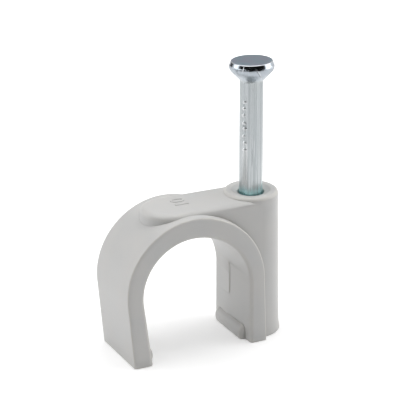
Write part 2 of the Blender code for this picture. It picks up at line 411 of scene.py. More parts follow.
def loft(rings):
    """A closed solid through a row of rings that have as many points each."""
    builder = bmesh.new()
    rows = [[builder.verts.new(point) for point in ring] for ring in rings]
    for near, far in zip(rows, rows[1:]):
        for index in range(len(near)):
            following = (index + 1) % len(near)
            builder.faces.new((near[index], near[following], far[following], far[index]))
    builder.faces.new(rows[0])
    builder.faces.new(rows[-1])
    return builder


def turned(profile):
    """A profile of radius and height, turned about the nail's axis; it starts and ends on the axis."""
    builder = bmesh.new()
    points = [builder.verts.new((radius, 0.0, height)) for radius, height in profile]
    edges = [builder.edges.new(pair) for pair in zip(points, points[1:])]
    bmesh.ops.spin(
        builder, geom=points + edges, axis=(0.0, 0.0, 1.0), cent=(0.0, 0.0, 0.0),
        angle=2 * pi, steps=TURN_STEPS, use_merge=True,
    )
    bmesh.ops.remove_doubles(builder, verts=builder.verts, dist=SAME_POINT)
    return builder


# The moulded clip

def leg(tangent, lean):
    """A straight leg from below the floor up to the arc's end, which is left out."""
    drop = tangent.y + BELOW_FLOOR
    foot = Vector((tangent.x + drop * tan(lean), -BELOW_FLOOR))
    return [foot.lerp(tangent, step / LEG_STEPS) for step in range(LEG_STEPS)]


def arch_side(top, free_radius, nail_radius, free_lean, nail_lean):
    """One side of the arch, from the free foot over the crown to the nail's foot."""
    free_arc = arc((CROWN_X, top - free_radius), free_radius, pi + free_lean, pi / 2, ARC_STEPS)
    nail_arc = arc((CROWN_X, top - nail_radius), nail_radius, pi / 2, -nail_lean, ARC_STEPS)
    free_leg = leg(free_arc[0], free_lean)
    nail_leg = leg(nail_arc[-1], nail_lean)
    return [*free_leg, *free_arc, *nail_arc[1:], *reversed(nail_leg)]


def inner_side():
    return arch_side(OPENING_HEIGHT, OPENING_FREE_RADIUS, OPENING_NAIL_RADIUS, FREE_LEG_LEAN_INSIDE, 0.0)


def outer_side():
    return arch_side(CROWN_Z, FREE_OUTER_RADIUS, NAIL_OUTER_RADIUS, FREE_LEG_LEAN_OUTSIDE, NAIL_LEG_DRAFT)


def parting_width(height):
    """How wide the step between the two cores' halves is, at a height of the inner side."""
    below = 1.0 - smoothstep(PARTING_BOTTOM, PARTING_BOTTOM + PARTING_FADE, height)
    above = smoothstep(PARTING_TOP - PARTING_FADE, PARTING_TOP, height)
    return PARTING_WIDTH + PARTING_SPREAD * max(below, above)


def wall_section(thickness, width, reach):
    """The wall's cross-section, across the wall and along the cable, with its corners rounded.

    The outer front edge rounds off over the given reach of the front face. The inner side runs out
    from the front to the parting line, steps out further over the given width, and runs back in again.
    """
    half = CLIP_DEPTH / 2
    inner = min(INNER_EDGE_ROUND, 0.4 * thickness)
    outer = min(OUTER_EDGE_ROUND, 0.4 * thickness)
    reach = min(reach, 0.4 * thickness)
    rear = min(BACK_EDGE_ROUND, 0.4 * thickness)
    line = (PARTING_Y + half) * tan(CORE_DRAFT)
    back = line + PARTING_STEP - (half - PARTING_Y) * tan(CORE_DRAFT)
    corners = [
        ((inner, inner - half), inner, inner, pi),
        ((thickness - reach, outer - half), reach, outer, 1.5 * pi),
        ((thickness - rear, half - rear), rear, rear, 0.0),
        ((rear - back, half - rear), rear, rear, 0.5 * pi),
    ]
    section = []
    for centre, across, along, start in corners:
        for point in arc((0.0, 0.0), 1.0, start, start + pi / 2, CORNER_STEPS):
            section.append(Vector((centre[0] + across * point.x, centre[1] + along * point.y)))
    section.append(Vector((-line - PARTING_STEP, PARTING_Y + width / 2)))
    section.append(Vector((-line, PARTING_Y - width / 2)))
    return section


def edge_reach(outside):
    """How far the outer front edge rounds off the front face: far on the free side, less by the column."""
    share = smoothstep(CROWN_X, CROWN_X + NAIL_OUTER_RADIUS / 2, outside.x)
    return FREE_SIDE_EDGE_REACH + (OUTER_EDGE_ROUND - FREE_SIDE_EDGE_REACH) * share


def make_arch():
    """The arch, lofted wall section by wall section from foot to foot."""
    rings = []
    for inside, outside in zip(inner_side(), outer_side()):
        across = outside - inside
        thickness = across.length
        across.normalize()
        ring = []
        for point in wall_section(thickness, parting_width(inside.y), edge_reach(outside)):
            place = inside + across * point.x
            ring.append(Vector((place.x, point.y, place.y)))
        rings.append(ring)
    return new_piece("moulded_clip", loft(rings))


def bridge_outline(below, inset):
    """The bridge from above, some way below its top: a round free end and sides tangent to the column."""
    spread = below * tan(COLUMN_DRAFT) - inset
    end = BRIDGE_END_RADIUS + spread
    root = (COLUMN_TOP_RADIUS + spread) * cos(pi / TURN_STEPS)
    middle = BRIDGE_END_RADIUS - BRIDGE_REACH
    taper = asin((root - end) / -middle)
    outline = [Vector((-root * sin(taper), root * cos(taper)))]
    outline += arc((middle, 0.0), end, pi / 2 + taper, 1.5 * pi - taper, 2 * END_STEPS)
    outline.append(Vector((-root * sin(taper), -root * cos(taper))))
    outline += [Vector((0.0, -root / 2)), Vector((0.0, root / 2))]
    height = COLUMN_HEIGHT - BRIDGE_BELOW_RIM - below
    return [Vector((point.x, point.y, height - point.x * tan(BRIDGE_TILT))) for point in outline]


def make_bridge():
    """The flat tongue over the arch, and the web that carries it down beside the column."""
    rings = [bridge_outline(COLUMN_HEIGHT + BELOW_FLOOR, 0.0)]
    for step in range(2 * CORNER_STEPS + 1):
        angle = pi / 2 * step / (2 * CORNER_STEPS)
        below = BRIDGE_TOP_ROUND * (1 - sin(angle))
        inset = BRIDGE_TOP_ROUND * (1 - cos(angle))
        rings.append(bridge_outline(below, inset))
    return new_piece("bridge", loft(rings))


def make_inside():
    """What is cut from the bridge and the column: everything inside the middle of the arch's wall."""
    middles = [inside.lerp(outside, 0.5) for inside, outside in zip(inner_side(), outer_side())]
    rings = [[Vector((middle.x, y, middle.y)) for middle in middles] for y in (-CLIP_DEPTH, CLIP_DEPTH)]
    return new_piece("inside", loft(rings))


def make_column():
    """The drafted column, with a small flare at its foot and a rounded rim."""
    spread = tan(COLUMN_DRAFT)
    flare_radius = COLUMN_TOP_RADIUS + (COLUMN_HEIGHT - FOOT_FLARE_HEIGHT) * spread
    rim = arc(
        (COLUMN_TOP_RADIUS - COLUMN_RIM_ROUND, COLUMN_HEIGHT - COLUMN_RIM_ROUND),
        COLUMN_RIM_ROUND, 0.0, pi / 2, CORNER_STEPS,
    )
    profile = [
        (0.0, -BELOW_FLOOR),
        (COLUMN_FOOT_RADIUS, -BELOW_FLOOR),
        (COLUMN_FOOT_RADIUS, 0.0),
        (flare_radius, FOOT_FLARE_HEIGHT),
        *[(point.x, point.y) for point in rim],
        (0.0, COLUMN_HEIGHT),
    ]
    return new_piece("column", turned(profile))


def make_bead(name, foot, facing, lean):
    """A grip bead along a foot's inner side; facing is +1 where the bead looks along +X."""
    front = BEAD_FROM_FRONT - CLIP_DEPTH / 2
    back = CLIP_DEPTH / 2 - BEAD_FROM_BACK
    angles = [pi / 2 * step / CORNER_STEPS for step in range(CORNER_STEPS + 1)]
    stations = [(front + BEAD_END_ROUND * (1 - cos(angle)), sin(angle)) for angle in angles]
    stations += [(back - BEAD_END_ROUND * (1 - sin(angle)), cos(angle)) for angle in angles]
    rings = []
    for along, fullness in stations:
        proud = BEAD_END_ROUND * (fullness - 1) + BEAD_PROUD
        tall = BEAD_END_ROUND * (fullness - 1) + BEAD_TOP_HEIGHT - BEAD_CREST_HEIGHT
        ring = []
        for point in arc((0.0, 0.0), 1.0, 0.0, 2 * pi, BEAD_STEPS)[:-1]:
            height = BEAD_CREST_HEIGHT + tall * point.y
            wall = foot - height * tan(lean)
            ring.append(Vector((wall + facing * proud * point.x, along, height)))
        rings.append(ring)
    return new_piece(name, loft(rings))


def make_bore():
    """The nail's way through the column: a lip and a flat bed for its head, a funnel and the bore."""
    profile = [
        (0.0, -2 * BELOW_FLOOR),
        (BORE_RADIUS, -2 * BELOW_FLOOR),
        (BORE_RADIUS, COLUMN_HEIGHT - SEAT_DEPTH),
        (SEAT_RADIUS, COLUMN_HEIGHT - SEAT_LIP_DEPTH),
        (SEAT_BED_RADIUS, COLUMN_HEIGHT - SEAT_BED_DEPTH),
        (SEAT_LIP_RADIUS, COLUMN_HEIGHT),
        (SEAT_LIP_RADIUS, COLUMN_HEIGHT + BELOW_FLOOR),
        (0.0, COLUMN_HEIGHT + BELOW_FLOOR),
    ]
    return new_piece("bore", turned(profile))


def make_ground():
    """The block below z = 0 that trims both feet flat."""
    builder = bmesh.new()
    bmesh.ops.create_cube(builder, size=1.0)
    for vert in builder.verts:
        vert.co.x *= 4 * (FREE_OUTER_RADIUS + NAIL_OUTER_RADIUS)
        vert.co.y *= 2 * CLIP_DEPTH
        vert.co.z = (vert.co.z - 0.5) * 4 * BELOW_FLOOR
    return new_piece("ground", builder)


def round_edges(piece):
    """Breaks every sharp outward edge that the joining left, and leaves the inward ones sharp."""
    builder = bmesh.new()
    builder.from_mesh(piece.data)
    bmesh.ops.remove_doubles(builder, verts=builder.verts, dist=SLIVER)
    bmesh.ops.dissolve_degenerate(builder, edges=builder.edges, dist=SLIVER)
    sharp = [
        edge for edge in builder.edges
        if edge.is_manifold and edge.calc_face_angle_signed() > CREASE_ANGLE
    ]
    bmesh.ops.bevel(
        builder, geom=sharp, offset=CREASE_ROUND, segments=CREASE_STEPS,
        profile=0.5, affect="EDGES", clamp_overlap=False,
    )
    builder.to_mesh(piece.data)
    builder.free()


def mark_bends(piece):
    """Stores on each point how tightly the surface bends outward there, per millimetre."""
    builder = bmesh.new()
    builder.from_mesh(piece.data)
    layer = builder.verts.layers.float.new("bend")
    for vert in builder.verts:
        turning = sum(
            edge.calc_face_angle_signed() * edge.calc_length()
            for edge in vert.link_edges if edge.is_manifold
        )
        area = sum(face.calc_area() / len(face.verts) for face in vert.link_faces)
        vert[layer] = turning * MM / (4 * area) if area > 0 else 0.0
    builder.to_mesh(piece.data)
    builder.free()


def make_clip(material):
    """The moulded clip: arch, bridge, column and beads in one piece, trimmed and bored."""
    clip = make_arch()
    bridge = make_bridge()
    column = make_column()
    for part in (bridge, column):
        combine(part, make_inside(), "DIFFERENCE")
        settle(part)
    bend = inner_side()[LEG_STEPS]
    free_foot = bend.x + bend.y * tan(FREE_LEG_LEAN_INSIDE)
    combine(clip, bridge, "UNION")
    combine(clip, column, "UNION")
    combine(clip, make_bead("free_bead", free_foot, 1, FREE_LEG_LEAN_INSIDE), "UNION")
    combine(clip, make_bead("nail_bead", NAIL_WALL_X, -1, 0.0), "UNION")
    combine(clip, make_ground(), "DIFFERENCE")
    combine(clip, make_bore(), "DIFFERENCE")
    settle(clip)
    round_edges(clip)
    mark_bends(clip)
    place_on_axis(clip)
    clip.data.shade_smooth()
    clip.data.set_sharp_from_angle(angle=CLIP_SHARP_ANGLE)
    clip.data.materials.append(material)
    weighted = clip.modifiers.new("flat faces stay flat", "WEIGHTED_NORMAL")
    weighted.keep_sharp = True
    settle(clip)
    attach(clip, "clip")
    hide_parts("clip_body")
    return clip


def make_figure(material):
    """The opening's size in millimetres, raised on the bridge's top and read from the nail's side."""
    lettering = bpy.data.curves.new("size_figure", "FONT")
    lettering.body = FIGURE
    lettering.size = FIGURE_HEIGHT / FIGURE_FONT_SHARE
    lettering.align_x = "CENTER"
    lettering.align_y = "CENTER"
    lettering.extrude = (FIGURE_PROUD + FIGURE_SUNK) / 2
    lettering.offset = -FIGURE_THINNED
    lettering.bevel_depth = FIGURE_EDGE_ROUND
    lettering.bevel_resolution = 2
    lettering.resolution_u = 5
    writing = new_object("size_figure_writing", lettering)
    mesh = evaluated_mesh(writing)
    bpy.data.objects.remove(writing)
    bpy.data.curves.remove(lettering)
    builder = bmesh.new()
    builder.from_mesh(mesh)
    bpy.data.meshes.remove(mesh)
    top = COLUMN_HEIGHT - BRIDGE_BELOW_RIM
    for vert in builder.verts:
        along, across, rise = vert.co
        far = FIGURE_FROM_NAIL + across
        level = top + far * tan(BRIDGE_TILT) + (FIGURE_PROUD - FIGURE_SUNK) / 2
        vert.co = (-far, FIGURE_OFF_MIDDLE + along, level + rise)
    figure = new_piece("size_figure", builder)
    figure.data.shade_smooth()
    figure.data.set_sharp_from_angle(angle=CLIP_SHARP_ANGLE)
    figure.data.materials.clear()
    figure.data.materials.append(material)
    place_on_axis(figure)
    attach(figure, "clip")
    return figure


# The nail

def rounded(before, corner, after, radius, steps):
    """The arc that rounds a corner between two straight lines."""
    back = (before - corner).normalized()
    ahead = (after - corner).normalized()
    half = back.angle(ahead) / 2
    centre = corner + (back + ahead).normalized() * (radius / sin(half))
    start = (corner + back * (radius / tan(half)) - centre).normalized()
    end = (corner + ahead * (radius / tan(half)) - centre).normalized()
    return [centre + start.slerp(end, step / steps) * radius for step in range(steps + 1)]


def head_profile():
    """Radius and height from the shank's top over the cone and the shoulder to the face's middle."""
    neck = Vector((SHANK_RADIUS, NAIL_TOP - HEAD_HEIGHT))
    face_edge = Vector((HEAD_FACE_RADIUS, NAIL_TOP))
    gain = tan(HEAD_SHOULDER_LEAN) + tan(HEAD_CONE_LEAN)
    drop = (SHANK_RADIUS + HEAD_HEIGHT * tan(HEAD_CONE_LEAN) - HEAD_FACE_RADIUS) / gain
    widest = Vector((HEAD_FACE_RADIUS + drop * tan(HEAD_SHOULDER_LEAN), NAIL_TOP - drop))
    centre = Vector((0.0, NAIL_TOP))
    shank = Vector((SHANK_RADIUS, NAIL_TIP))
    profile = rounded(shank, neck, widest, HEAD_NECK_ROUND, CORNER_STEPS)
    profile += rounded(neck, widest, face_edge, HEAD_SIDE_ROUND, SIDE_STEPS)
    profile += rounded(widest, face_edge, centre, HEAD_EDGE_ROUND, CORNER_STEPS)
    rim = profile[-1]
    profile += [rim.lerp(centre, share) for share in FACE_RINGS]
    return profile


def tilt_head(builder):
    """Leans the struck face back a little, so that its front rim is its highest place."""
    for vert in builder.verts:
        share = smoothstep(NAIL_TOP - HEAD_TILT_FROM, NAIL_TOP - HEAD_TILT_FULL, vert.co.z)
        vert.co.z -= share * tan(HEAD_TILT) * (HEAD_FACE_RADIUS + vert.co.y)


def random_value(graph, low, high, seed):
    """A number between two bounds, drawn anew for each tooth."""
    node = graph.add("FunctionNodeRandomValue", {"data_type": "FLOAT"})
    graph.fill(node.inputs[2], low)
    graph.fill(node.inputs[3], high)
    graph.fill(node.inputs["Seed"], seed)
    return node.outputs[1]


def make_grip_tree():
    """Geometry nodes that raise a row of small teeth on two sides of a wire."""
    inputs = [
        ("Nail", "NodeSocketGeometry"),
        ("Teeth", "NodeSocketInt", GRIP_TEETH),
        ("First Height", FLOAT, GRIP_FIRST_HEIGHT),
        ("Pitch", FLOAT, GRIP_PITCH),
        ("Scatter", FLOAT, GRIP_SCATTER),
        ("Turn Scatter", FLOAT, GRIP_TURN_SCATTER),
        ("Turn", FLOAT, GRIP_TURN),
        ("Wire Radius", FLOAT, SHANK_RADIUS),
        ("Width", FLOAT, GRIP_WIDTH),
        ("Tall", FLOAT, GRIP_TALL),
        ("Thick", FLOAT, GRIP_THICK),
        ("Proud", FLOAT, GRIP_PROUD),
        ("Smallest", FLOAT, GRIP_SMALLEST),
        ("Largest", FLOAT, GRIP_LARGEST),
        ("Seed", "NodeSocketInt", GRIP_SEED),
        ("Finish", "NodeSocketMaterial"),
    ]
    outputs = [("Nail", "NodeSocketGeometry")]
    graph, given, results = new_group("grip_teeth", inputs, outputs, "GeometryNodeTree")
    index = graph.add("GeometryNodeInputIndex").outputs[0]
    row = graph.math("FLOOR", graph.math("DIVIDE", index, 2.0))
    side = graph.times(graph.math("MODULO", index, 2.0), pi)
    turn_back = graph.times(given["Turn Scatter"], -1.0)
    sway = random_value(graph, turn_back, given["Turn Scatter"], graph.plus(given["Seed"], 2.0))
    turn = graph.plus(graph.plus(given["Turn"], side), sway)
    drop = graph.times(given["Scatter"], -1.0)
    scatter = random_value(graph, drop, given["Scatter"], given["Seed"])
    level = graph.minus(given["First Height"], graph.times(row, given["Pitch"]))
    height = graph.plus(level, scatter)
    half_thick = graph.times(given["Thick"], 0.5)
    reach = graph.minus(graph.plus(given["Wire Radius"], given["Proud"]), half_thick)
    place = graph.add(
        "ShaderNodeCombineXYZ",
        X=graph.times(reach, graph.math("COSINE", turn)),
        Y=graph.times(reach, graph.math("SINE", turn)),
        Z=height,
    )
    points = graph.add(
        "GeometryNodePoints", Count=graph.times(given["Teeth"], 2.0), Position=place.outputs[0]
    )
    size = random_value(graph, given["Smallest"], given["Largest"], graph.plus(given["Seed"], 1.0))
    swelling = graph.add(
        "ShaderNodeCombineXYZ",
        X=given["Thick"],
        Y=graph.times(given["Width"], size),
        Z=graph.times(given["Tall"], size),
    )
    facing = graph.add("ShaderNodeCombineXYZ", Z=turn)
    ball = graph.add("GeometryNodeMeshUVSphere", Segments=GRIP_SEGMENTS, Rings=GRIP_RINGS, Radius=0.5)
    teeth = graph.add(
        "GeometryNodeInstanceOnPoints", Points=points.outputs[0], Instance=ball.outputs["Mesh"],
        Rotation=facing.outputs[0], Scale=swelling.outputs[0],
    )
    solid = graph.add("GeometryNodeRealizeInstances", Geometry=teeth.outputs[0])
    joined = graph.add("GeometryNodeMeshBoolean", {"operation": "UNION", "solver": "EXACT"})
    graph.fill(joined.inputs["Mesh 2"], given["Nail"])
    graph.fill(joined.inputs["Mesh 2"], solid.outputs[0])
    real = graph.add("GeometryNodeRealizeInstances", Geometry=joined.outputs[0])
    finish = graph.add("GeometryNodeSetMaterial", Geometry=real.outputs[0], Material=given["Finish"])
    graph.fill(results["Nail"], finish.outputs[0])
    return graph.tree


def use_tree(piece, tree, **values):
    """Puts a geometry tree on a piece, with values for its named inputs."""
    modifier = piece.modifiers.new(tree.name, "NODES")
    modifier.node_group = tree
    for socket in tree.interface.items_tree:
        key = socket.name.replace(" ", "_")
        if socket.in_out == "INPUT" and key in values:
            modifier[socket.identifier] = values[key]


def make_nail(material):
    """The nail: a struck head with a steep shoulder, the cone under it, shank and four-sided point."""
    builder = turned([(0.0, NAIL_TIP), (SHANK_RADIUS, NAIL_TIP), *head_profile()])
    tilt_head(builder)
    tip = Vector((0.0, 0.0, NAIL_TIP))
    for quarter in range(4):
        turn = quarter * pi / 2
        outward = Vector((cos(turn) * POINT_LENGTH, sin(turn) * POINT_LENGTH, -SHANK_RADIUS))
        geometry = builder.verts[:] + builder.edges[:] + builder.faces[:]
        cut = bmesh.ops.bisect_plane(
            builder, geom=geometry, dist=ON_PLANE, plane_co=tip, plane_no=outward, clear_outer=True
        )
        rim = [part for part in cut["geom_cut"] if isinstance(part, bmesh.types.BMEdge)]
        bmesh.ops.contextual_create(builder, geom=rim)
    nail = new_piece("zinc_nail", builder)
    nail.data.materials.append(material)
    use_tree(nail, make_grip_tree(), Finish=material)
    settle(nail)
    mark_bends(nail)
    place_on_axis(nail)
    nail.data.shade_smooth()
    nail.data.set_sharp_from_angle(angle=NAIL_SHARP_ANGLE)
    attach(nail, "nail")
    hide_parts("nail")
    return nail


# Finishes

class Graph:
    """Adds nodes to a tree; an input is given a number, a colour or another node's output."""

    def __init__(self, tree):
        self.tree = tree

    def fill(self, socket, value):
        if isinstance(value, bpy.types.NodeSocket):
            self.tree.links.new(value, socket)
        else:
            socket.default_value = value

    def add(self, kind, settings=None, **inputs):
        node = self.tree.nodes.new(kind)
        for key, value in (settings or {}).items():
            setattr(node, key, value)
        for key, value in inputs.items():
            self.fill(node.inputs[key.replace("_", " ")], value)
        return node

    def math(self, operation, *values):
        node = self.tree.nodes.new("ShaderNodeMath")
        node.operation = operation
        for socket, value in zip(node.inputs, values):
            self.fill(socket, value)
        return node.outputs[0]

    def plus(self, first, second):
        return self.math("ADD", first, second)

    def minus(self, first, second):
        return self.math("SUBTRACT", first, second)

    def times(self, first, second):
        return self.math("MULTIPLY", first, second)

    def mix(self, factor, first, second):
        node = self.tree.nodes.new("ShaderNodeMix")
        node.data_type = "RGBA"
        for index, value in ((0, factor), (6, first), (7, second)):
            self.fill(node.inputs[index], value)
        return node.outputs[2]

    def shades(self, factor, pair):
        """A mix of two display colours."""
        return self.mix(factor, linear(*pair[0]), linear(*pair[1]))

    def tint(self, mask, share, under, colour):
        """A display colour laid over another one, where a mask says, with a given share."""
        return self.mix(self.times(mask, share), under, linear(*colour))

    def stretched_noise(self, vector, stretch, roughness):
        """A noise drawn out along the axes."""
        place = self.add("ShaderNodeMapping", Vector=vector, Scale=stretch).outputs["Vector"]
        return self.noise(place, 1.0, roughness=roughness)

    def ramp(self, value, low, high, to_low=0.0, to_high=1.0):
        node = self.add(
            "ShaderNodeMapRange", {"interpolation_type": "SMOOTHSTEP"},
            Value=value, From_Min=low, From_Max=high, To_Min=to_low, To_Max=to_high,
        )
        return node.outputs["Result"]

    def step(self, value, origin, limits, to_low=0.0, to_high=1.0):
        """A ramp between two limits that are measured from an origin."""
        return self.ramp(value, origin + limits[0], origin + limits[1], to_low, to_high)

    def noise(self, vector, scale, detail=2.0, roughness=0.5):
        node = self.add(
            "ShaderNodeTexNoise", Vector=vector, Scale=scale, Detail=detail, Roughness=roughness
        )
        return node.outputs["Fac"]

    def group(self, tree, **inputs):
        return self.add("ShaderNodeGroup", {"node_tree": tree}, **inputs).outputs


def new_group(name, inputs, outputs, kind="ShaderNodeTree"):
    """A node group with its sockets, whose value may be left out, and the graph to fill it with."""
    tree = bpy.data.node_groups.new(name, kind)
    for label, socket_kind, *value in inputs:
        socket = tree.interface.new_socket(label, in_out="INPUT", socket_type=socket_kind)
        if value:
            socket.default_value = value[0]
    for label, socket_kind in outputs:
        tree.interface.new_socket(label, in_out="OUTPUT", socket_type=socket_kind)
    graph = Graph(tree)
    return graph, graph.add("NodeGroupInput").outputs, graph.add("NodeGroupOutput").inputs


def make_millimetres_group():
    """Object coordinates in millimetres about the nail's axis."""
    graph, _, results = new_group("millimetres", [], [("Place", VECTOR)])
    coordinates = graph.add("ShaderNodeTexCoord").outputs["Object"]
    mapping = graph.add(
        "ShaderNodeMapping", Vector=coordinates, Location=(-NAIL_AXIS_X / MM, 0.0, 0.0), Scale=(1 / MM,) * 3
    )
    graph.fill(results["Place"], mapping.outputs["Vector"])
    return graph.tree


def make_mottle_group():
    """Soft uneven patches and fine grain, both about 0.5."""
    graph, given, results = new_group(
        "mottle",
        [("Place", VECTOR), ("Patches Per Millimetre", FLOAT, 0.4), ("Grains Per Millimetre", FLOAT, 8.0)],
        [("Patches", FLOAT), ("Grain", FLOAT)],
    )
    patches = graph.noise(given["Place"], given["Patches Per Millimetre"], detail=3.0)
    grain = graph.noise(given["Place"], given["Grains Per Millimetre"], roughness=0.6)
    graph.fill(results["Patches"], patches)
    graph.fill(results["Grain"], grain)
    return graph.tree


def new_material(name):
    """A node material with its graph and its shader."""
    material = bpy.data.materials.new(name)
    material.use_nodes = True
    graph = Graph(material.node_tree)
    return material, graph, material.node_tree.nodes["Principled BSDF"]


def make_bend_group():
    """How much a surface is an edge: 0 on flats and 1 on tight outward rounds, a little uneven."""
    graph, given, results = new_group(
        "edge",
        [("Place", VECTOR), ("From Bend", FLOAT, 0.5), ("To Bend", FLOAT, 2.0), ("Unevenness", FLOAT, 0.3)],
        [("Edge", FLOAT)],
    )
    bend = graph.add("ShaderNodeAttribute", {"attribute_name": "bend"}).outputs["Fac"]
    edge = graph.ramp(bend, given["From Bend"], given["To Bend"])
    patches = graph.ramp(graph.noise(given["Place"], EDGE_PATCHES), NOISE_LOW, NOISE_HIGH)
    kept = graph.minus(1.0, graph.times(given["Unevenness"], patches))
    graph.fill(results["Edge"], graph.times(edge, kept))
    return graph.tree


def edge_mask(graph, bends, place, limits, unevenness):
    """How much a place is an edge, or a crease where the limits are below 0."""
    start, full = limits
    return graph.group(bends, Place=place, From_Bend=start, To_Bend=full, Unevenness=unevenness)["Edge"]


def make_plastic(millimetres, mottle, bends):
    """Light grey moulded plastic: a satin skin with faint flow patches and mould grain, a painted highlight
    on its edges and painted shade in its crevices.
    """
    material, graph, shader = new_material("light_grey_moulded_plastic")
    place = graph.group(millimetres)["Place"]
    surface = graph.group(
        mottle, Place=place,
        Patches_Per_Millimetre=PLASTIC_PATCHES, Grains_Per_Millimetre=PLASTIC_GRAINS,
    )
    edge = edge_mask(graph, bends, place, PLASTIC_EDGE_BENDS, PLASTIC_EDGE_UNEVENNESS)
    flow = graph.ramp(surface["Patches"], NOISE_LOW, NOISE_HIGH)
    skin = graph.shades(flow, PLASTIC_SKIN)
    # Painted highlight: a paler, warmer colour along the tight outward rounds
    paler_edges = graph.tint(edge, PLASTIC_EDGE_SHARE, skin, PLASTIC_EDGE)
    # Painted shade: the colour darkens where the clip's own surfaces close round a place, in creases and
    # corners
    around = graph.add(
        "ShaderNodeAmbientOcclusion", {"samples": CREVICE_SAMPLES, "only_local": True}, Distance=CREVICE_REACH
    )
    painted_crevice_shade = graph.ramp(around.outputs["AO"], CREVICE_CLOSED, CREVICE_OPEN, PAINTED_CREVICE_SHADE_SHARE, 0.0)
    graph.fill(shader.inputs["Base Color"], graph.mix(painted_crevice_shade, paler_edges, linear(*PAINTED_CREVICE_SHADE)))
    roughness = graph.ramp(surface["Patches"], NOISE_LOW, NOISE_HIGH, *PLASTIC_ROUGHNESS)
    graph.fill(shader.inputs["Roughness"], roughness)
    bump = graph.add(
        "ShaderNodeBump", Height=surface["Grain"], Strength=PLASTIC_GRAIN, Distance=PLASTIC_GRAIN_DEPTH
    )
    graph.fill(shader.inputs["Normal"], bump.outputs["Normal"])
    return material


def make_scratch_group():
    """A straight line on a round piece, used for the scratches and for the painted highlight band: 1 along it
    and 0 off it, with ends that fade out.
    """
    graph, given, results = new_group(
        "scratch",
        [
            ("Place", VECTOR),
            ("Turn", FLOAT, 0.0),
            ("Height", FLOAT, 0.0),
            ("Radius", FLOAT, 1.0),
            ("Slant", FLOAT, 0.0),
            ("Length", FLOAT, 1.0),
            ("Width", FLOAT, 0.06),
        ],
        [("Scratch", FLOAT)],
    )
    parts = graph.add("ShaderNodeSeparateXYZ", Vector=given["Place"]).outputs
    waves = graph.minus(graph.noise(given["Place"], SCRATCH_WAVES), 0.5)
    wander = graph.times(waves, SCRATCH_WANDER)
    turn = graph.minus(graph.math("ARCTAN2", parts["Y"], parts["X"]), given["Turn"])
    across = graph.plus(graph.times(turn, given["Radius"]), wander)
    along = graph.minus(parts["Z"], given["Height"])
    sine = graph.math("SINE", given["Slant"])
    cosine = graph.math("COSINE", given["Slant"])
    off = graph.plus(graph.times(across, cosine), graph.times(along, sine))
    rise = graph.times(along, cosine)
    down = graph.minus(rise, graph.times(across, sine))
    half_width = graph.times(given["Width"], 0.5)
    half_length = graph.times(given["Length"], 0.5)
    fade_from = graph.times(half_length, 0.5)
    narrow = graph.ramp(graph.math("ABSOLUTE", off), 0.0, half_width, 1.0, 0.0)
    short = graph.ramp(graph.math("ABSOLUTE", down), fade_from, half_length, 1.0, 0.0)
    graph.fill(results["Scratch"], graph.times(narrow, short))
    return graph.tree


def make_scores(graph, scratch, place):
    """All the scratches on the nail: how much painted shade of a dark one and painted glint of a light one a
    place has.
    """
    scores = {"dark": 0.0, "light": 0.0}
    for turn, level, radius, slant, length, width, lightness in NAIL_SCRATCHES:
        score = graph.group(
            scratch, Place=place, Turn=radians(turn), Height=level, Radius=radius,
            Slant=radians(slant), Length=length, Width=width,
        )["Scratch"]
        kind = "dark" if lightness < 0 else "light"
        scores[kind] = graph.math("MAXIMUM", scores[kind], graph.times(score, abs(lightness)))
    return scores["dark"], scores["light"]


def make_wire_colour(graph, scratch, place, patches, height):
    """The shank's zinc in two shades, with a painted reflection that brightens its low end and a painted
    highlight band down its side.
    """
    rim = COLUMN_HEIGHT / MM
    bare = graph.shades(patches, WIRE_ZINC)
    # Painted reflection: the wire is brighter near the column, where it mirrors the pale clip
    low_end = graph.ramp(height, rim + PAINTED_REFLECTION_FULL, rim + PAINTED_REFLECTION_GONE, PAINTED_REFLECTION_SHARE, 0.0)
    bright = graph.mix(low_end, bare, linear(*PAINTED_REFLECTION_ZINC))
    # Painted highlight: a pale band down the shank's side
    turn, level, radius, length, width, lightness = NAIL_PAINTED_HIGHLIGHT
    highlight_band = graph.group(
        scratch, Place=place, Turn=radians(turn), Height=level, Radius=radius,
        Length=length, Width=width,
    )["Scratch"]
    return graph.tint(highlight_band, lightness, bright, PAINTED_HIGHLIGHT_ZINC)


